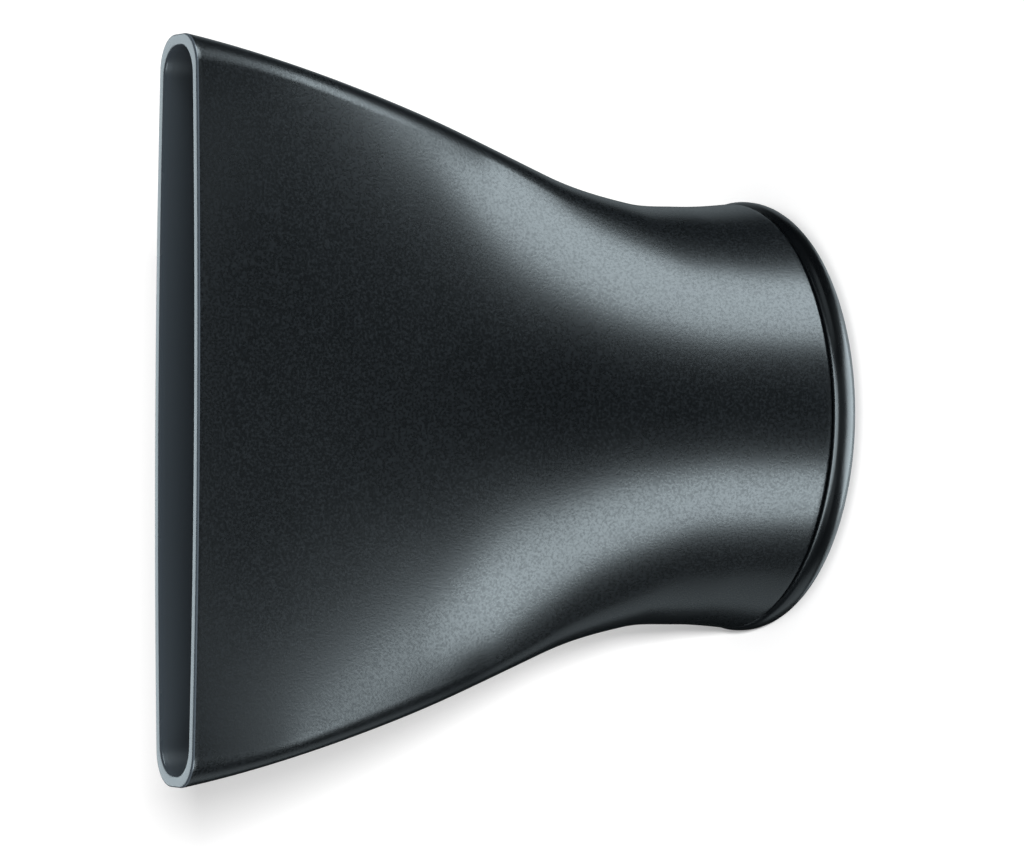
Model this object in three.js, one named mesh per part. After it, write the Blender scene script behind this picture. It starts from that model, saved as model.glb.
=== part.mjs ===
// Concentrator nozzle for a hair dryer: a flared shell that turns freely on a coupling collar.
// Units are millimetres. The origin is the centre of the collar's rear face, +Z runs along the airway
// towards the outlet slot, and +X runs along the slot's long side.

import * as THREE from 'three';
import { mergeVertices } from 'three/addons/utils/BufferGeometryUtils.js';

// ---- Driving dimensions ------------------------------------------------------------------------

const LENGTH = 70.2;            // collar's rear face to the lip of the slot
const SLOT_WIDTH = 80;          // outside, along X
const SLOT_HEIGHT = 11.6;       // outside, along Y
const WALL = 1.2;               // shell wall at the lip and through the flare
const LIP_ROUND = 0.25;         // rounding on both edges of the lip
const LIP_START = LENGTH - LIP_ROUND;

const COLLAR_RADIUS = 23.8;
const FLANGE_THICKNESS = 3.25;  // the part of the collar that shows behind the neck
const FLANGE_REAR_ROUND = 2.2;
const FLANGE_FRONT_ROUND = 0.9;
const SHADOW_GAP = 0.3;         // between the flange and the shell's rear edge
const BORE_RADIUS = 19.75;      // takes a barrel of 39 mm
const BORE_CHAMFER = 0.4;
const STOP_RADIUS = 18.9;       // inner edge of the shoulder that the barrel's end meets
const STOP_Z = 7.8;
const SLEEVE_RADIUS = 20.95;    // the part of the collar inside the neck
const SLEEVE_END = 8.8;

const NECK_START = FLANGE_THICKNESS + SHADOW_GAP;
const NECK_REAR_RADIUS = 23.55;
const NECK_REAR_ROUND = 0.15;
const RIB_RADIUS = 21.3;        // inner rib of the neck, which the snap ring catches behind
const RIB_END = 6.2;
const RIB_CHAMFER = 0.4;
const RECESS_RADIUS = 21.9;     // room for the snap ring in front of the rib
const RECESS_END = 9.4;
const DUCT_START = 11.4;        // from here on the inside is the outside less one wall

const SNAP_WIRE = 0.9;          // wire diameter
const SNAP_RADIUS = 21.25;      // to the middle of the wire
const SNAP_Z = 6.8;
const SNAP_OPENING = 8;         // degrees left open at the split
const SNAP_GROOVE_RADIUS = 20.35;
const SNAP_GROOVE_HEIGHT = 1.1;

const GRIP_Z = 1.8;             // middle of the silicone ring and of its groove
const GRIP_HEIGHT = 1.2;
const GRIP_GROOVE_HEIGHT = 1.4;
const GRIP_GROOVE_RADIUS = 20.7;
const GRIP_OUTER_RADIUS = 20.6;
const GRIP_LIP_RADIUS = 19.4;   // stands a little into the bore, so that it is squeezed by the barrel

// The shell's outside at a few heights: each row is [z, value, slope].
const HALF_LENGTH = [
  [NECK_START, NECK_REAR_RADIUS, -0.11],
  [10.6, 23.08, 0],
  [17.6, 23.38, 0.2],
  [27.6, 26.3, 0.44],
  [44.6, 33.2, 0.35],
  [LIP_START, SLOT_WIDTH / 2, 0.17],
];
const HALF_THICKNESS = [
  [NECK_START, NECK_REAR_RADIUS, -0.11],
  [10.6, 22.4, -0.2],
  [17.6, 20.24, -0.45],
  [27.6, 15.7, -0.49],
  [44.6, 8.86, -0.135],
  [LIP_START, SLOT_HEIGHT / 2, -0.01],
];
// The corner arcs' radius as a share of the half thickness: 1 is a circle.
const CORNER_SHARE = [
  [NECK_START, 1, 0],
  [10.6, 0.98, -0.008],
  [17.6, 0.87, -0.02],
  [27.6, 0.615, -0.025],
  [36.6, 0.395, 0],
  [44.6, 0.435, 0],
  [56.6, 0.435, 0],
  [LIP_START, 0.65, 0.024],
];
// Half of the straight stretch at each end of the section.
const END_STRAIGHT = [
  [NECK_START, 0, 0],
  [27.6, 0, 0],
  [40.6, 0.4, 0],
  [56.6, 0.5, 0.02],
  [LIP_START, 1.2, 0.08],
];
const INSIDE_EASING = 0.8;      // share of that stretch which the inside's rounder corners take up

// ---- Fineness of the facets --------------------------------------------------------------------

const CORNER_STEPS = 9;         // facets in a quarter turn's corner arc
const SIDE_STEPS = 7;           // facets in a quarter turn's side arc
const FLARE_ROWS = 24;
const DUCT_ROWS = 21;
const ROUND_STEPS = 3;
const SNAP_STEPS = 72;
const WIRE_STEPS = 5;

// ---- Curves and sections -----------------------------------------------------------------------

/** Smooth value at z on a table of [z, value, slope] rows. */
function valueAt(table, z) {
  let i = 0;
  while (i < table.length - 2 && z > table[i + 1][0]) {
    i += 1;
  }
  const [z0, v0, slope0] = table[i];
  const [z1, v1, slope1] = table[i + 1];
  const span = z1 - z0;
  const t = (z - z0) / span;
  const fromStart = (1 + 2 * t) * (1 - t) ** 2 * v0 + t * (1 - t) ** 2 * span * slope0;
  const fromEnd = t * t * (3 - 2 * t) * v1 + t * t * (t - 1) * span * slope1;
  return fromStart + fromEnd;
}

/** The shell's section at z, drawn in by an offset: an oblong of four corner arcs and two side arcs. */
function shellSection(z, offset, shapeZ = z) {
  const thickness = valueAt(HALF_THICKNESS, shapeZ);
  const straight = valueAt(END_STRAIGHT, shapeZ);
  const eased = (straight * INSIDE_EASING * offset) / WALL;
  return {
    z,
    length: valueAt(HALF_LENGTH, shapeZ) - offset,
    thickness: thickness - offset,
    corner: thickness * valueAt(CORNER_SHARE, shapeZ) - offset + eased,
    straight: straight - eased,
  };
}

/** A round section. */
function circle(radius, z) {
  return { z, length: radius, thickness: radius, corner: radius, straight: 0 };
}

/** One quarter of a section, from +X round to +Y. */
function quarterPoints({ length, thickness, corner, straight }) {
  const reach = length - corner;
  const rise = thickness - straight;
  const isRound = reach < 1e-6 || rise - corner < 1e-6;
  const sideRadius = isRound ? corner : (reach ** 2 + rise ** 2 - corner ** 2) / (2 * (rise - corner));
  const join = isRound ? Math.PI / 4 : Math.atan2(sideRadius - rise, reach);
  const points = [[length, 0]];
  for (let i = 1; i <= CORNER_STEPS; i += 1) {
    const angle = (join * i) / CORNER_STEPS;
    points.push([reach + corner * Math.cos(angle), straight + corner * Math.sin(angle)]);
  }
  for (let i = 1; i < SIDE_STEPS; i += 1) {
    const angle = join + ((Math.PI / 2 - join) * i) / SIDE_STEPS;
    points.push([sideRadius * Math.cos(angle), thickness - sideRadius + sideRadius * Math.sin(angle)]);
  }
  points.push([0, thickness]);
  return points;
}

/** The whole outline of a section, anticlockwise from +X. */
function outline(section) {
  const quarter = quarterPoints(section);
  const back = [...quarter].reverse();
  return [
    ...quarter.slice(0, -1),
    ...back.slice(0, -1).map(([x, y]) => [-x, y]),
    ...quarter.slice(0, -1).map(([x, y]) => [-x, -y]),
    ...back.slice(0, -1).map(([x, y]) => [x, -y]),
  ];
}

/** A closed ring-shaped solid through a loop of sections, listed outside first, going up. */
function ringSolid(sections) {
  const positions = [];
  for (const section of sections) {
    for (const [x, y] of outline(section)) {
      positions.push(x, y, section.z);
    }
  }
  const around = outline(sections[0]).length;
  const indices = [];
  for (let row = 0; row < sections.length; row += 1) {
    const next = (row + 1) % sections.length;
    for (let i = 0; i < around; i += 1) {
      const j = (i + 1) % around;
      const [a, b] = [row * around + i, row * around + j];
      const [c, d] = [next * around + j, next * around + i];
      indices.push(a, b, c, a, c, d);
    }
  }
  const geometry = new THREE.BufferGeometry();
  geometry.setAttribute('position', new THREE.Float32BufferAttribute(positions, 3));
  geometry.setIndex(indices);
  geometry.computeVertexNormals();
  return geometry;
}

/** Steps along a quarter round, as shares of its radius: [inward from the side, along Z from the face]. */
function quarterRound() {
  const steps = [];
  for (let i = 0; i <= ROUND_STEPS; i += 1) {
    const angle = (Math.PI / 2) * (i / ROUND_STEPS);
    steps.push([1 - Math.sin(angle), 1 - Math.cos(angle)]);
  }
  return steps;
}

// ---- Materials ---------------------------------------------------------------------------------

const shellPlastic = new THREE.MeshStandardMaterial({ color: 0x2b2f33, roughness: 0.42, metalness: 0 });
const glossPlastic = new THREE.MeshStandardMaterial({ color: 0x16191c, roughness: 0.12, metalness: 0 });
const springSteel = new THREE.MeshStandardMaterial({ color: 0x9da0a3, roughness: 0.3, metalness: 1 });
const silicone = new THREE.MeshStandardMaterial({ color: 0x1d1e20, roughness: 0.7, metalness: 0 });

// ---- Sub-parts ---------------------------------------------------------------------------------

/** The flared shell: round neck, concave waist and slot, with the snap ring's rib inside the neck. */
function nozzleBody() {
  const sections = [];
  for (const [inward, up] of quarterRound()) {
    const offset = inward * NECK_REAR_ROUND;
    sections.push(shellSection(NECK_START + up * NECK_REAR_ROUND, offset, NECK_START + NECK_REAR_ROUND));
  }
  const flareStart = NECK_START + NECK_REAR_ROUND;
  for (let i = 1; i <= FLARE_ROWS; i += 1) {
    sections.push(shellSection(flareStart + ((LIP_START - flareStart) * i) / FLARE_ROWS, 0));
  }
  sections.push(shellSection(LENGTH, LIP_ROUND, LIP_START));
  sections.push(shellSection(LENGTH, WALL - LIP_ROUND, LIP_START));
  for (let i = 0; i <= DUCT_ROWS; i += 1) {
    sections.push(shellSection(LIP_START - ((LIP_START - DUCT_START) * i) / DUCT_ROWS, WALL));
  }
  sections.push(circle(RECESS_RADIUS, RECESS_END));
  sections.push(circle(RECESS_RADIUS, RIB_END));
  sections.push(circle(RIB_RADIUS, RIB_END));
  sections.push(circle(RIB_RADIUS, NECK_START + RIB_CHAMFER));
  sections.push(circle(RIB_RADIUS + RIB_CHAMFER, NECK_START));
  return ringSolid(sections);
}

/** The collar: a flange that shows behind the neck, and a sleeve with the bore for the barrel. */
function couplingCollar() {
  const grooveLow = GRIP_Z - GRIP_GROOVE_HEIGHT / 2;
  const grooveHigh = GRIP_Z + GRIP_GROOVE_HEIGHT / 2;
  const snapLow = SNAP_Z - SNAP_GROOVE_HEIGHT / 2;
  const snapHigh = SNAP_Z + SNAP_GROOVE_HEIGHT / 2;
  const rearRound = quarterRound().map(([inward, up]) => circle(
    COLLAR_RADIUS - inward * FLANGE_REAR_ROUND,
    up * FLANGE_REAR_ROUND,
  ));
  const frontRound = quarterRound().reverse().map(([inward, down]) => circle(
    COLLAR_RADIUS - inward * FLANGE_FRONT_ROUND,
    FLANGE_THICKNESS - down * FLANGE_FRONT_ROUND,
  ));
  return ringSolid([
    ...rearRound,
    ...frontRound,
    circle(SLEEVE_RADIUS, FLANGE_THICKNESS),
    circle(SLEEVE_RADIUS, snapLow),
    circle(SNAP_GROOVE_RADIUS, snapLow),
    circle(SNAP_GROOVE_RADIUS, snapHigh),
    circle(SLEEVE_RADIUS, snapHigh),
    circle(SLEEVE_RADIUS, SLEEVE_END - BORE_CHAMFER),
    circle(SLEEVE_RADIUS - BORE_CHAMFER, SLEEVE_END),
    circle(STOP_RADIUS, SLEEVE_END),
    circle(STOP_RADIUS, STOP_Z),
    circle(BORE_RADIUS, STOP_Z),
    circle(BORE_RADIUS, grooveHigh),
    circle(GRIP_GROOVE_RADIUS, grooveHigh),
    circle(GRIP_GROOVE_RADIUS, grooveLow),
    circle(BORE_RADIUS, grooveLow),
    circle(BORE_RADIUS, BORE_CHAMFER),
    circle(BORE_RADIUS + BORE_CHAMFER, 0),
  ]);
}

/** The silicone ring that grips the barrel: a flat band with a crowned lip. */
function gripRing() {
  const low = GRIP_Z - GRIP_HEIGHT / 2;
  const high = GRIP_Z + GRIP_HEIGHT / 2;
  return ringSolid([
    circle(GRIP_OUTER_RADIUS, low),
    circle(GRIP_OUTER_RADIUS, high),
    circle(BORE_RADIUS, high),
    circle(GRIP_LIP_RADIUS, GRIP_Z + GRIP_HEIGHT / 6),
    circle(GRIP_LIP_RADIUS, GRIP_Z - GRIP_HEIGHT / 6),
    circle(BORE_RADIUS, low),
  ]);
}

/** The line down the middle of the snap ring's wire. */
class SplitCircle extends THREE.Curve {
  getPoint(t, target = new THREE.Vector3()) {
    const half = THREE.MathUtils.degToRad(SNAP_OPENING / 2);
    const angle = Math.PI / 2 + half + t * (2 * Math.PI - 2 * half);
    return target.set(SNAP_RADIUS * Math.cos(angle), SNAP_RADIUS * Math.sin(angle), 0);
  }
}

/** The split ring of spring wire that keeps the collar in the neck and lets it turn. */
function snapRing() {
  const wire = new THREE.Shape();
  wire.absarc(0, 0, SNAP_WIRE / 2, 0, 2 * Math.PI);
  const extruded = new THREE.ExtrudeGeometry(wire, {
    steps: SNAP_STEPS,
    curveSegments: WIRE_STEPS,
    extrudePath: new SplitCircle(),
  });
  extruded.deleteAttribute('uv');
  extruded.deleteAttribute('normal');
  const geometry = mergeVertices(extruded, 1e-4);
  geometry.computeVertexNormals();
  return geometry;
}

// ---- Assembly ----------------------------------------------------------------------------------

const nozzle = new THREE.Group();

/** Adds one named sub-part, in its place. */
function addPart(name, geometry, material, z = 0) {
  const mesh = new THREE.Mesh(geometry, material);
  mesh.name = name;
  mesh.position.z = z;
  nozzle.add(mesh);
}

addPart('nozzle_body', nozzleBody(), shellPlastic);
addPart('coupling_collar', couplingCollar(), glossPlastic);
addPart('snap_ring', snapRing(), springSteel, SNAP_Z);
addPart('grip_ring', gripRing(), silicone);

export default nozzle;
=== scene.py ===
"""Looks of a hair dryer's concentrator nozzle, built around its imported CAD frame.

Metres, +Z up. The nozzle stands on its coupling collar, with the slot's long side along X.
"""

import math

import bpy
from mathutils import Matrix, Vector


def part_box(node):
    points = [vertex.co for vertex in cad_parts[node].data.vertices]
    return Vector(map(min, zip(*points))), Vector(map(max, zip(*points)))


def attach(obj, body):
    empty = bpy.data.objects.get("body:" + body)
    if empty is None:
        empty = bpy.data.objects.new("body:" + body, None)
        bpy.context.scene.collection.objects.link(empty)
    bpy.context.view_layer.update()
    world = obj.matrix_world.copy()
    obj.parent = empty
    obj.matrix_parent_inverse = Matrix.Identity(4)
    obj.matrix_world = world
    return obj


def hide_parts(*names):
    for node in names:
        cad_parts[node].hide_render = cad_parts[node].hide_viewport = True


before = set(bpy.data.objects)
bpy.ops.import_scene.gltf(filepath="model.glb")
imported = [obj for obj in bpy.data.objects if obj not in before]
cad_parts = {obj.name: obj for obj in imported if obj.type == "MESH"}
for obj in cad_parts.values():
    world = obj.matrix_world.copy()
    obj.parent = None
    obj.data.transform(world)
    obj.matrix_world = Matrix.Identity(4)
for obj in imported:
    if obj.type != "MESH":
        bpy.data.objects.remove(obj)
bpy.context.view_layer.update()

MM = 0.001

# ---- Sizes, in millimetres ---------------------------------------------------------------------

shell_low, shell_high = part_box("nozzle_body")
_, collar_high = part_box("coupling_collar")
LENGTH = shell_high.z / MM
NECK_START = shell_low.z / MM
COLLAR_RADIUS = collar_high.x / MM
SLEEVE_END = collar_high.z / MM

SLOT_WIDTH = 80
SLOT_HEIGHT = 11.6
WALL = 1.2
LIP_ROUND = 0.25
LIP_START = LENGTH - LIP_ROUND

# The flange's front face is 0.08 mm further up and the neck's rear edge 0.15 mm rounder than in the
# CAD, which keeps a wider gap between the two for its faceted, moving solids.
FLANGE_THICKNESS = 3.33
FLANGE_REAR_ROUND = 2.2
FLANGE_FRONT_ROUND = 0.9
BORE_RADIUS = 19.75
STOP_RADIUS = 18.9
STOP_Z = 7.8
SLEEVE_RADIUS = 20.95
SMALL_ROUND = 0.12
EDGE_CHAMFER = 0.4
# An eased corner takes up at most this share of the edge on each side of it.
EASED_SHARE = 0.45

NECK_REAR_RADIUS = 23.55
NECK_REAR_ROUND = 0.3
RIB_RADIUS = 21.3
RIB_END = 6.2
RECESS_RADIUS = 21.9
RECESS_END = 9.4
DUCT_START = 11.4

SNAP_WIRE = 0.9
SNAP_RADIUS = 21.25
SNAP_Z = 6.8
SNAP_OPENING_DEGREES = 8
SNAP_GROOVE_RADIUS = 20.35
SNAP_GROOVE_HEIGHT = 1.1

GRIP_Z = 1.8
GRIP_HEIGHT = 1.2
GRIP_GROOVE_HEIGHT = 1.4
GRIP_GROOVE_RADIUS = 20.7
GRIP_OUTER_RADIUS = 20.6
GRIP_LIP_RADIUS = 19.4

# The shell's outside at a few heights: each row is (z, value, slope), the same as in the CAD.
HALF_LENGTH = [
    (NECK_START, NECK_REAR_RADIUS, -0.11),
    (10.6, 23.08, 0),
    (17.6, 23.38, 0.2),
    (27.6, 26.3, 0.44),
    (44.6, 33.2, 0.35),
    (LIP_START, SLOT_WIDTH / 2, 0.17),
]
HALF_THICKNESS = [
    (NECK_START, NECK_REAR_RADIUS, -0.11),
    (10.6, 22.4, -0.2),
    (17.6, 20.24, -0.45),
    (27.6, 15.7, -0.49),
    (44.6, 8.86, -0.135),
    (LIP_START, SLOT_HEIGHT / 2, -0.01),
]
# The corner arcs' radius as a share of the half thickness: 1 is a circle.
CORNER_SHARE = [
    (NECK_START, 1, 0),
    (10.6, 0.98, -0.008),
    (17.6, 0.87, -0.02),
    (27.6, 0.615, -0.025),
    (36.6, 0.395, 0),
    (44.6, 0.435, 0),
    (56.6, 0.435, 0),
    (LIP_START, 0.65, 0.024),
]
# Half of the straight stretch at each end of the section.
END_STRAIGHT = [
    (NECK_START, 0, 0),
    (27.6, 0, 0),
    (40.6, 0.4, 0),
    (56.6, 0.5, 0.02),
    (LIP_START, 1.2, 0.08),
]
# The share of that stretch which the inside's rounder corners take up.
INSIDE_EASING = 0.8

CORNER_STEPS = 36
SIDE_STEPS = 40
FLARE_ROWS = 130
DUCT_ROWS = 90
ROUND_STEPS = 8
WIRE_STEPS = 160
DISC_STEPS = 64
TINY = 1e-6


# ---- Curves and sections -----------------------------------------------------------------------

def value_at(table, z):
    """Smooth value at z on a table of (z, value, slope) rows."""
    i = 0
    while i < len(table) - 2 and z > table[i + 1][0]:
        i += 1
    z0, v0, slope0 = table[i]
    z1, v1, slope1 = table[i + 1]
    span = z1 - z0
    t = (z - z0) / span
    from_start = (1 + 2 * t) * (1 - t) ** 2 * v0 + t * (1 - t) ** 2 * span * slope0
    from_end = t * t * (3 - 2 * t) * v1 + t * t * (t - 1) * span * slope1
    return from_start + from_end


def shell_section(z, offset, shape_z=None):
    """The shell's section at z, drawn in by an offset: four corner arcs, two side arcs, two flat ends."""
    at = z if shape_z is None else shape_z
    length = value_at(HALF_LENGTH, at) - offset
    thickness = value_at(HALF_THICKNESS, at)
    straight = value_at(END_STRAIGHT, at)
    eased = straight * INSIDE_EASING * offset / WALL
    corner = thickness * value_at(CORNER_SHARE, at) - offset + eased
    return (z, length, thickness - offset, corner, straight - eased)


def circle(radius, z):
    """A round section."""
    return (z, radius, radius, radius, 0.0)


def quarter_points(section):
    """One quarter of a section, from +X round to +Y."""
    _, length, thickness, corner, straight = section
    reach = length - corner
    rise = thickness - straight
    is_round = reach < TINY or rise - corner < TINY
    side_radius = corner if is_round else (reach**2 + rise**2 - corner**2) / (2 * (rise - corner))
    join = math.pi / 4 if is_round else math.atan2(side_radius - rise, reach)
    points = [(length, 0.0)]
    for i in range(1, CORNER_STEPS + 1):
        angle = join * i / CORNER_STEPS
        points.append((reach + corner * math.cos(angle), straight + corner * math.sin(angle)))
    for i in range(1, SIDE_STEPS):
        angle = join + (math.pi / 2 - join) * i / SIDE_STEPS
        across = side_radius * math.cos(angle)
        up = side_radius * math.sin(angle)
        points.append((across, thickness - side_radius + up))
    points.append((0.0, thickness))
    return points


def outline(section):
    """The whole outline of a section, anticlockwise from +X."""
    quarter = quarter_points(section)
    back = quarter[::-1]
    return (
        quarter[:-1]
        + [(-x, y) for x, y in back[:-1]]
        + [(-x, -y) for x, y in quarter[:-1]]
        + [(x, -y) for x, y in back[:-1]]
    )


def quarter_round():
    """Steps along a quarter round, as shares of its radius: (inward from the side, along Z from the face)."""
    angles = [math.pi / 2 * i / ROUND_STEPS for i in range(ROUND_STEPS + 1)]
    return [(1 - math.sin(angle), 1 - math.cos(angle)) for angle in angles]


def ring_mesh(name, sections, **shares):
    """A closed ring-shaped mesh through a loop of sections, listed outside first, going up.

    Each named share becomes a mesh attribute, and holds one value for each section.
    """
    vertices = []
    for section in sections:
        vertices += [(x * MM, y * MM, section[0] * MM) for x, y in outline(section)]
    around = len(outline(sections[0]))
    rows = len(sections)
    faces = []
    for row in range(rows):
        following = (row + 1) % rows
        low = row * around
        high = following * around
        for i in range(around):
            j = (i + 1) % around
            faces.append((low + i, low + j, high + j, high + i))
    mesh = bpy.data.meshes.new(name)
    mesh.from_pydata(vertices, [], faces)
    mesh.shade_smooth()
    for key, by_section in shares.items():
        attribute = mesh.attributes.new(key, "FLOAT", "POINT")
        values = [share for share in by_section for _ in range(around)]
        attribute.data.foreach_set("value", values)
    piece = bpy.data.objects.new(name, mesh)
    bpy.context.scene.collection.objects.link(piece)
    return piece


def rounded_loop(corners, radius=SMALL_ROUND, steps=3):
    """A closed loop of (radius, z) corners with each corner eased by a small arc-like curve."""
    loop = []
    count = len(corners)
    for i, corner in enumerate(corners):
        point = Vector(corner)
        before = Vector(corners[i - 1]) - point
        after = Vector(corners[(i + 1) % count]) - point
        reach = min(radius, before.length * EASED_SHARE, after.length * EASED_SHARE)
        start = point + before.normalized() * reach
        end = point + after.normalized() * reach
        for step in range(steps + 1):
            t = step / steps
            loop.append((1 - t) ** 2 * start + 2 * t * (1 - t) * point + t * t * end)
    return [circle(p.x, p.y) for p in loop]


# ---- Shader nodes ------------------------------------------------------------------------------

PLASTIC_IOR = 1.58
GRAIN_SCALE = 3600

# A Mix node's sockets for colours, by number, because its sockets of other kinds have the same names.
MIX_FACTOR = 0
MIX_FIRST = 6
MIX_SECOND = 7
MIX_RESULT = 2


class Nodes:
    """Short calls for adding and linking a material's nodes."""

    def __init__(self, name):
        self.material = bpy.data.materials.new(name)
        self.material.use_nodes = True
        self.tree = self.material.node_tree
        self.shader = self.tree.nodes["Principled BSDF"]

    def add(self, kind, inputs=None, **settings):
        node = self.tree.nodes.new(kind)
        for key, value in settings.items():
            setattr(node, key, value)
        for key, value in (inputs or {}).items():
            self.put(node.inputs[key], value)
        return node

    def put(self, socket, value):
        if isinstance(value, bpy.types.NodeSocket):
            self.tree.links.new(value, socket)
        else:
            socket.default_value = value

    def math(self, operation, *values):
        node = self.add("ShaderNodeMath", operation=operation)
        for socket, value in zip(node.inputs, values):
            self.put(socket, value)
        return node.outputs["Value"]

    def noise(self, scale, detail=2.0, roughness=0.5):
        place = self.add("ShaderNodeTexCoord").outputs["Object"]
        node = self.add(
            "ShaderNodeTexNoise",
            {"Vector": place, "Scale": scale, "Detail": detail, "Roughness": roughness},
        )
        return node.outputs["Fac"]

    def remap(self, value, low, high, to_low, to_high):
        node = self.add(
            "ShaderNodeMapRange",
            {"Value": value, "From Min": low, "From Max": high, "To Min": to_low, "To Max": to_high},
        )
        return node.outputs["Result"]

    def mix_colour(self, factor, first, second):
        node = self.add("ShaderNodeMix", data_type="RGBA")
        self.put(node.inputs[MIX_FACTOR], factor)
        self.put(node.inputs[MIX_FIRST], first)
        self.put(node.inputs[MIX_SECOND], second)
        return node.outputs[MIX_RESULT]


def shell_plastic():
    """Satin black: grained where the mesh's grain share is 1, smooth elsewhere, rougher where inside is 1;
    painted light makes the smooth parts' base colour lighter, and painted shade dims the reflections inside.
    """
    n = Nodes("shell_plastic")
    grain_mask = n.add("ShaderNodeAttribute", attribute_name="grain").outputs["Fac"]
    grain = n.noise(GRAIN_SCALE, detail=1.0)
    cloudy = n.noise(60, detail=3.0)
    bump = n.add(
        "ShaderNodeBump",
        {"Strength": 0.25, "Distance": 0.00003, "Height": n.math("MULTIPLY", grain, grain_mask)},
    )
    pits = n.math("MULTIPLY", n.remap(grain, 0.42, 0.68, 0.0, 1.0), grain_mask)
    inside = n.add("ShaderNodeAttribute", attribute_name="inside").outputs["Fac"]
    extra_roughness = n.math("ADD", n.math("MULTIPLY", pits, 0.05), n.math("MULTIPLY", inside, 0.2))
    even_roughness = n.remap(cloudy, 0.3, 0.7, 0.265, 0.285)
    roughness = n.math("ADD", even_roughness, extra_roughness)
    grain_black = (0.0015, 0.0019, 0.0023, 1)
    pit_black = (0.0048, 0.0057, 0.0067, 1)
    # The smooth lip and duct get base colours far lighter than the grained black of the same plastic: painted
    # light on the lip face, the neck's rear edge and the duct's walls.
    lip_painted_light = (0.050, 0.057, 0.066, 1)
    duct_painted_light = (0.045, 0.051, 0.058, 1)
    textured = n.mix_colour(pits, grain_black, pit_black)
    smooth = n.mix_colour(inside, lip_painted_light, duct_painted_light)
    n.put(n.shader.inputs["Base Color"], n.mix_colour(grain_mask, smooth, textured))
    full_tint = (1, 1, 1, 1)
    pit_tint = (0.78, 0.78, 0.78, 1)
    # The duct's specular tint is weaker than the outside's: painted shade that dims the reflections inside
    # the duct.
    duct_painted_shade_tint = (0.6, 0.6, 0.6, 1)
    outside_tint = n.mix_colour(pits, full_tint, pit_tint)
    n.put(n.shader.inputs["Specular Tint"], n.mix_colour(inside, outside_tint, duct_painted_shade_tint))
    n.put(n.shader.inputs["Roughness"], roughness)
    n.put(n.shader.inputs["Normal"], bump.outputs["Normal"])
    n.shader.inputs["IOR"].default_value = PLASTIC_IOR
    return n.material


def collar_plastic():
    """Smooth satin black, with the faint haze and waviness of a moulded surface."""
    n = Nodes("collar_plastic")
    haze = n.noise(300, detail=2.0)
    waves = n.noise(120, detail=1.0)
    bump = n.add("ShaderNodeBump", {"Strength": 0.15, "Distance": 0.00003, "Height": waves})
    n.put(n.shader.inputs["Base Color"], (0.0018, 0.0022, 0.0027, 1))
    n.put(n.shader.inputs["Roughness"], n.remap(haze, 0.3, 0.7, 0.26, 0.30))
    n.put(n.shader.inputs["Normal"], bump.outputs["Normal"])
    n.shader.inputs["IOR"].default_value = PLASTIC_IOR
    return n.material


def spring_steel():
    """Drawn spring wire: bright, with fine uneven streaks."""
    n = Nodes("spring_steel")
    streaks = n.noise(2500, detail=3.0)
    n.put(n.shader.inputs["Base Color"], (0.56, 0.57, 0.58, 1))
    n.shader.inputs["Metallic"].default_value = 1.0
    n.put(n.shader.inputs["Roughness"], n.remap(streaks, 0.3, 0.7, 0.22, 0.36))
    bump = n.add("ShaderNodeBump", {"Strength": 0.2, "Distance": 0.00002, "Height": streaks})
    n.put(n.shader.inputs["Normal"], bump.outputs["Normal"])
    return n.material


def silicone():
    """Matt black silicone with a dusty bloom."""
    n = Nodes("silicone")
    bloom = n.noise(700, detail=4.0)
    dark = (0.014, 0.014, 0.015, 1)
    dusty = (0.026, 0.026, 0.028, 1)
    n.put(n.shader.inputs["Base Color"], n.mix_colour(bloom, dark, dusty))
    n.put(n.shader.inputs["Roughness"], n.remap(bloom, 0.3, 0.7, 0.6, 0.75))
    bump = n.add("ShaderNodeBump", {"Strength": 0.2, "Distance": 0.00003, "Height": bloom})
    n.put(n.shader.inputs["Normal"], bump.outputs["Normal"])
    return n.material


# ---- Pieces ------------------------------------------------------------------------------------

def finish_piece(piece, material, body, node):
    """Gives a piece its material, ties it to its CAD body and hides the CAD node's mesh."""
    piece.data.materials.append(material)
    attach(piece, body)
    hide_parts(node)


def make_shell():
    """The flared shell: outside with grain, then the lip, the duct and the coupling's rib, all smooth."""
    rows = []
    round_top = NECK_START + NECK_REAR_ROUND
    grain_end = 0.6
    for inward, up in quarter_round():
        section = shell_section(NECK_START + up * NECK_REAR_ROUND, inward * NECK_REAR_ROUND, round_top)
        rows.append((section, 1.0 if inward < grain_end else 0.0))
    for i in range(1, FLARE_ROWS + 1):
        rows.append((shell_section(round_top + (LIP_START - round_top) * i / FLARE_ROWS, 0), 1.0))
    for inward, down in quarter_round()[::-1][1:]:
        rows.append((shell_section(LENGTH - down * LIP_ROUND, inward * LIP_ROUND, LIP_START), 0.0))
    for inward, down in quarter_round():
        rows.append((shell_section(LENGTH - down * LIP_ROUND, WALL - inward * LIP_ROUND, LIP_START), 0.0))
    for i in range(1, DUCT_ROWS + 1):
        rows.append((shell_section(LIP_START - (LIP_START - DUCT_START) * i / DUCT_ROWS, WALL), 0.0))
    rows_before_duct = len(rows) - DUCT_ROWS
    neck_inside = [
        (RECESS_RADIUS, RECESS_END),
        (RECESS_RADIUS, RIB_END),
        (RIB_RADIUS, RIB_END),
        (RIB_RADIUS, NECK_START + EDGE_CHAMFER),
        (RIB_RADIUS + EDGE_CHAMFER, NECK_START),
    ]
    rows += [(circle(radius, z), 0.0) for radius, z in neck_inside]
    sections = [row[0] for row in rows]
    grain = [row[1] for row in rows]
    inside = [0.0 if i < rows_before_duct else 1.0 for i in range(len(rows))]
    return ring_mesh("shell", sections, grain=grain, inside=inside)


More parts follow.
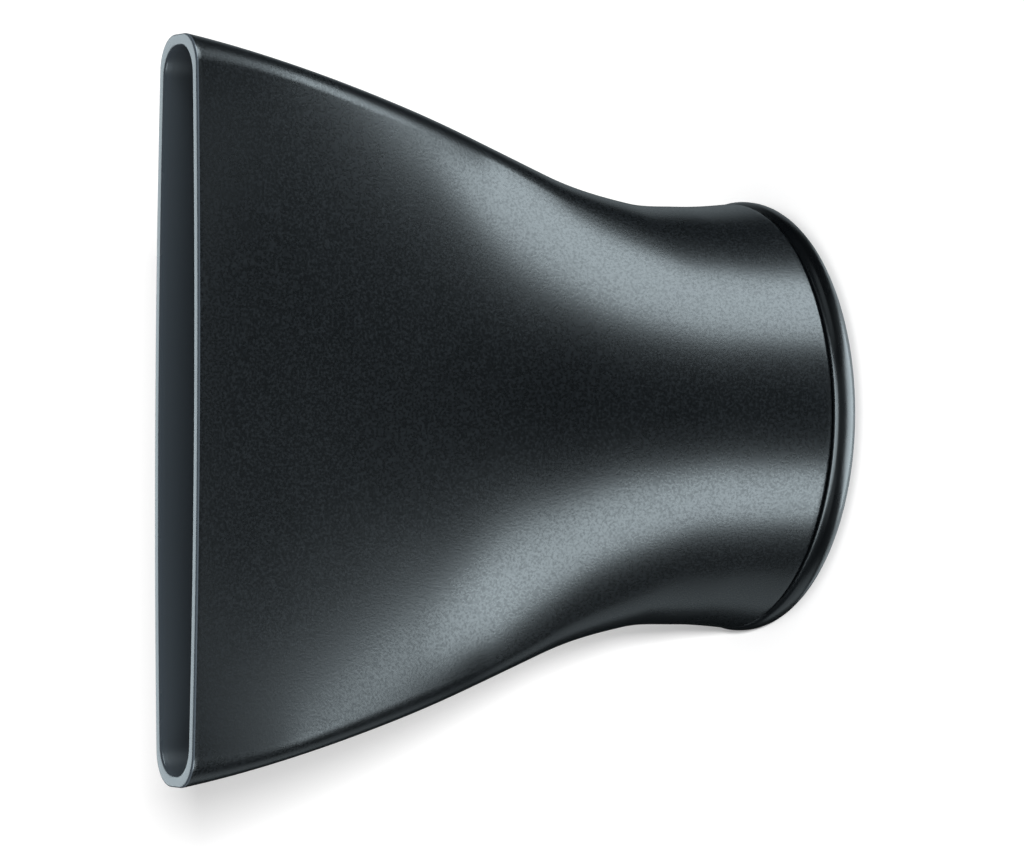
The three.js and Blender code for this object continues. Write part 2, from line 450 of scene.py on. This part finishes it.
def make_collar():
    """The collar: rounded gloss flange, sleeve with the snap ring's groove, and the barrel's bore."""
    groove_low = GRIP_Z - GRIP_GROOVE_HEIGHT / 2
    groove_high = GRIP_Z + GRIP_GROOVE_HEIGHT / 2
    snap_low = SNAP_Z - SNAP_GROOVE_HEIGHT / 2
    snap_high = SNAP_Z + SNAP_GROOVE_HEIGHT / 2
    sections = [
        circle(COLLAR_RADIUS - inward * FLANGE_REAR_ROUND, up * FLANGE_REAR_ROUND)
        for inward, up in quarter_round()
    ]
    sections += [
        circle(COLLAR_RADIUS - inward * FLANGE_FRONT_ROUND, FLANGE_THICKNESS - down * FLANGE_FRONT_ROUND)
        for inward, down in quarter_round()[::-1]
    ]
    sleeve_and_bore = [
        (SLEEVE_RADIUS, FLANGE_THICKNESS),
        (SLEEVE_RADIUS, snap_low),
        (SNAP_GROOVE_RADIUS, snap_low),
        (SNAP_GROOVE_RADIUS, snap_high),
        (SLEEVE_RADIUS, snap_high),
        (SLEEVE_RADIUS, SLEEVE_END),
        (STOP_RADIUS, SLEEVE_END),
        (STOP_RADIUS, STOP_Z),
        (BORE_RADIUS, STOP_Z),
        (BORE_RADIUS, groove_high),
        (GRIP_GROOVE_RADIUS, groove_high),
        (GRIP_GROOVE_RADIUS, groove_low),
        (BORE_RADIUS, groove_low),
        (BORE_RADIUS, EDGE_CHAMFER),
        (BORE_RADIUS + EDGE_CHAMFER, 0.0),
    ]
    return ring_mesh("collar", sections + rounded_loop(sleeve_and_bore))


def make_grip_ring():
    """The silicone ring, with a rounded lip that stands into the bore."""
    low = GRIP_Z - GRIP_HEIGHT / 2
    high = GRIP_Z + GRIP_HEIGHT / 2
    half_lip = GRIP_HEIGHT / 6
    corners = [
        (GRIP_OUTER_RADIUS, low),
        (GRIP_OUTER_RADIUS, high),
        (BORE_RADIUS, high),
        (GRIP_LIP_RADIUS, GRIP_Z + half_lip),
        (GRIP_LIP_RADIUS, GRIP_Z - half_lip),
        (BORE_RADIUS, low),
    ]
    return ring_mesh("grip_band", rounded_loop(corners, radius=0.2, steps=5))


def make_snap_ring():
    """The split spring wire, with rounded ends."""
    half = math.radians(SNAP_OPENING_DEGREES / 2)
    curve = bpy.data.curves.new("snap_wire", "CURVE")
    curve.dimensions = "3D"
    curve.bevel_depth = SNAP_WIRE / 2 * MM
    curve.bevel_resolution = 6
    curve.use_fill_caps = True
    spline = curve.splines.new("POLY")
    spline.points.add(WIRE_STEPS)
    for i, point in enumerate(spline.points):
        angle = math.pi / 2 + half + (2 * math.pi - 2 * half) * i / WIRE_STEPS
        x = SNAP_RADIUS * math.cos(angle) * MM
        y = SNAP_RADIUS * math.sin(angle) * MM
        point.co = (x, y, SNAP_Z * MM, 1)
    piece = bpy.data.objects.new("snap_wire", curve)
    bpy.context.scene.collection.objects.link(piece)
    return piece


shell = make_shell()
collar = make_collar()
grip_band = make_grip_ring()
snap_wire = make_snap_ring()
finish_piece(shell, shell_plastic(), "nozzle", "nozzle_body")
finish_piece(collar, collar_plastic(), "collar", "coupling_collar")
finish_piece(grip_band, silicone(), "collar", "grip_ring")
finish_piece(snap_wire, spring_steel(), "collar", "snap_ring")


# ---- Studio ------------------------------------------------------------------------------------

# Cycles gives an area light a radiance of its watts over four times its area.
WATTS_FACTOR = 4


def receivers(name, *objects):
    """A collection that a light can be linked to."""
    collection = bpy.data.collections.new(name)
    for obj in objects:
        collection.objects.link(obj)
    return collection


def aim(obj, target):
    """Turns an object's -Z towards a point."""
    obj.rotation_mode = "QUATERNION"
    obj.rotation_quaternion = (Vector(target) - obj.location).to_track_quat("-Z", "Y")


def area_light(name, width, height, radiance, linked, colour):
    """A rectangular light of a given radiance, which lights only the linked collection."""
    data = bpy.data.lights.new(name, "AREA")
    data.shape = "RECTANGLE"
    data.size = width
    data.size_y = height
    data.energy = radiance * WATTS_FACTOR * data.size * data.size_y
    data.color = colour
    light = bpy.data.objects.new(name, data)
    bpy.context.scene.collection.objects.link(light)
    light.visible_camera = False
    light.light_linking.receiver_collection = linked
    return light


def soft_box(name, azimuth, distance, width, low, high, radiance, linked, colour):
    """An upright light facing the axis, in metres and degrees; azimuth 0 is at -Y, 90 at +X."""
    light = area_light(name, width, high - low, radiance, linked, colour)
    turn = math.radians(azimuth)
    middle = (low + high) / 2
    light.location = (distance * math.sin(turn), -distance * math.cos(turn), middle)
    aim(light, (0, 0, middle))


def flat_panel(name, location, size, radiance, linked, colour):
    """A level light above or below the object, facing it; size is along X and Y."""
    light = area_light(name, size[0], size[1], radiance, linked, colour)
    light.location = location
    if location[2] < 0:
        light.rotation_euler.x = math.pi


def make_floor():
    """A plain pale floor."""
    mesh = bpy.data.meshes.new("floor")
    reach = 4.0
    corners = [(-reach, -reach, 0), (reach, -reach, 0), (reach, reach, 0), (-reach, reach, 0)]
    mesh.from_pydata(corners, [], [(0, 1, 2, 3)])
    floor = bpy.data.objects.new("floor", mesh)
    bpy.context.scene.collection.objects.link(floor)
    n = Nodes("floor_paint")
    n.put(n.shader.inputs["Base Color"], (0.9, 0.9, 0.9, 1))
    n.shader.inputs["Roughness"].default_value = 0.9
    n.shader.inputs["Specular IOR Level"].default_value = 0.0
    mesh.materials.append(n.material)
    floor.visible_glossy = False
    floor.visible_shadow = False
    return floor


def make_bore_shade():
    """A dark disc just under the floor, which keeps the panels below the floor out of the collar's bore."""
    depth = 0.5
    turns = [2 * math.pi * i / DISC_STEPS for i in range(DISC_STEPS)]
    rim = [(BORE_RADIUS * MM * math.cos(t), BORE_RADIUS * MM * math.sin(t), -depth * MM) for t in turns]
    mesh = bpy.data.meshes.new("bore_shade")
    mesh.from_pydata(rim, [], [tuple(range(DISC_STEPS))])
    shade = bpy.data.objects.new("bore_shade", mesh)
    bpy.context.scene.collection.objects.link(shade)
    n = Nodes("bore_shade_paint")
    n.put(n.shader.inputs["Base Color"], (0.1, 0.1, 0.1, 1))
    n.shader.inputs["Roughness"].default_value = 0.9
    mesh.materials.append(n.material)


floor = make_floor()
make_bore_shade()
on_object = receivers("lit_object", shell, collar, grip_band, snap_wire)
on_shell = receivers("lit_shell", shell, grip_band, snap_wire)
on_collar = receivers("lit_collar", collar, grip_band)
on_floor = receivers("lit_floor", floor)

COOL = (0.80, 0.935, 1.0)
WHITE = (1, 1, 1)
STUDIO_RADIUS = 1.5
FLOOR_LIGHT_HEIGHT = 2.2
SHADOW_LIGHT_DISTANCE = 3.0

# Upright lights around the object: (name, azimuth, width, low, high, radiance, what it lights).
SOFT_BOXES = [
    ("left_strip", -41, 0.71, -0.78, 0.75, 6.9, on_shell),
    ("right_strip", 58, 1.02, -1.06, 0.75, 6.5, on_shell),
    ("left_low", -24, 0.5, -1.5, -0.68, 0.45, on_shell),
    ("front_low", -5, 1.3, -1.5, -0.68, 0.3, on_shell),
    ("left_collar_strip", -41, 0.71, -0.25, 1.2, 0.4, on_collar),
    ("right_collar_strip", 58, 1.02, -0.25, 1.2, 0.4, on_collar),
    ("front_collar_strip", 0, 1.2, -0.7, 1.0, 0.17, on_collar),
    ("left_rim", -109, 1.0, -1.3, 0.3, 0.4, on_object),
    ("right_rim", 150, 0.8, -1.3, 0.3, 0.28, on_object),
    ("back_panel", 180, 1.6, 0.35, 1.5, 2.35, on_object),
]
# Level lights for the collar, above and below it: (name, location, size, radiance).
COLLAR_PANELS = [
    ("top_panel", (-0.2, 0, 1.4), (1.4, 1.2), 6.6),
    ("top_front_panel", (-0.25, -1.25, 1.4), (1.5, 1.2), 4.0),
    ("under_panel", (0.0, -0.41, -1.0), (1.0, 1.03), 5.0),
    ("under_back_panel", (-0.06, 0.5, -1.0), (1.3, 0.8), 0.8),
]
for name, azimuth, width, low, high, radiance, linked in SOFT_BOXES:
    soft_box(name, azimuth, STUDIO_RADIUS, width, low, high, radiance, linked, COOL)
for name, location, size, radiance in COLLAR_PANELS:
    flat_panel(name, location, size, radiance, on_collar, COOL)
flat_panel("floor_panel", (0, 0, FLOOR_LIGHT_HEIGHT), (3.0, 3.0), 0.7, on_floor, WHITE)
soft_box("shadow_light", 4.8, SHADOW_LIGHT_DISTANCE, 0.2, 1.25, 1.47, 1100, on_floor, WHITE)

# Even light for the floor and the base colours, which the glossy surfaces don't mirror.
world = bpy.data.worlds.new("studio")
bpy.context.scene.world = world
world.use_nodes = True
background = world.node_tree.nodes["Background"]
background.inputs["Color"].default_value = (1, 1, 1, 1)
background.inputs["Strength"].default_value = 0.35
world.cycles_visibility.glossy = False

# ---- Camera ------------------------------------------------------------------------------------

VIEW_AZIMUTH = -0.48
VIEW_ELEVATION = 26.49
VIEW_ROLL = -89.49
VIEW_DISTANCE = 0.6546
VIEW_AIM = Vector((-0.00176, 0, 0.03036))
LENS = 211
SENSOR = 36

camera_data = bpy.data.cameras.new("camera")
camera_data.sensor_width = SENSOR
camera_data.lens = LENS
camera_data.clip_start = 0.01
camera_data.clip_end = 20
camera = bpy.data.objects.new("camera", camera_data)
bpy.context.scene.collection.objects.link(camera)
turn, tilt, roll = (math.radians(angle) for angle in (VIEW_AZIMUTH, VIEW_ELEVATION, VIEW_ROLL))
back = Vector((math.sin(turn) * math.cos(tilt), -math.cos(turn) * math.cos(tilt), math.sin(tilt)))
level = Vector((math.cos(turn), math.sin(turn), 0))
upright = back.cross(level)
right = level * math.cos(roll) + upright * math.sin(roll)
up = upright * math.cos(roll) - level * math.sin(roll)
turned = Matrix((right, up, back)).transposed().to_4x4()
camera.matrix_world = Matrix.Translation(VIEW_AIM + back * VIEW_DISTANCE) @ turned
bpy.context.scene.camera = camera

bpy.context.scene.view_settings.view_transform = "Standard"
